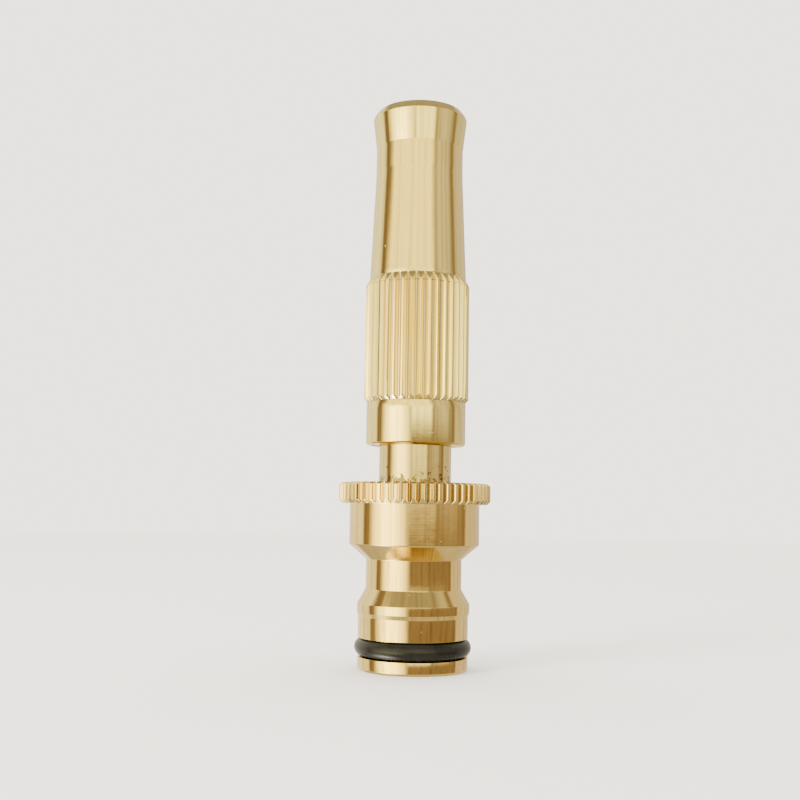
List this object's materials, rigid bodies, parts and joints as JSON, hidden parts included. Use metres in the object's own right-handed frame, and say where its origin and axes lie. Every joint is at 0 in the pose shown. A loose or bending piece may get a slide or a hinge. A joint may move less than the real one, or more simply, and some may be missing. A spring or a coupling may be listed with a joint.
{
  "type": "hose spray nozzle",
  "caption": "Straight turned-brass twist nozzle for a garden hose: a knurled sleeve screws along a hollow stem, and the inlet is a quick-connect spigot with an O-ring.",
  "frame": {"origin": "centre of the inlet face, at the bottom end of the quick-connect spigot", "axes": "+Z along the nozzle's axis from the inlet to the outlet; the part stands upright on its inlet face; +X and +Y are square to the axis and the part looks the same from both"},
  "size_m": [0.022, 0.022, 0.082],
  "materials": {
    "connector_brass": "turned, lightly polished",
    "stem_brass": "turned",
    "sleeve_brass": "satin polished",
    "seal_rubber": "moulded, lightly greased"
  },
  "bodies": {
    "base": {"connector_body": "connector_brass", "spigot_o_ring": "seal_rubber", "stem_gasket": "seal_rubber", "stem": "stem_brass", "stem_o_ring": "seal_rubber", "spray_core": "stem_brass", "core_o_ring": "seal_rubber"},
    "neck_seal": {"neck_o_ring": "seal_rubber"},
    "sleeve": {"sleeve": "sleeve_brass", "gland_bush": "sleeve_brass"}
  },
  "joints": [
    {"name": "sleeve_travel", "type": "slide", "parent": "base", "child": "neck_seal", "axis": [0, 0, 1], "range_m": [-0.003, 0.003]},
    {"name": "sleeve_twist", "type": "hinge", "parent": "neck_seal", "child": "sleeve", "pos_m": [0, 0, 0.057], "axis": [0, 0, 1], "range_deg": [-720, 720]}
  ],
  "couplings": [
    {"joint": "sleeve_twist", "follows": "sleeve_travel", "rad_per_m": 4188.8}
  ]
}
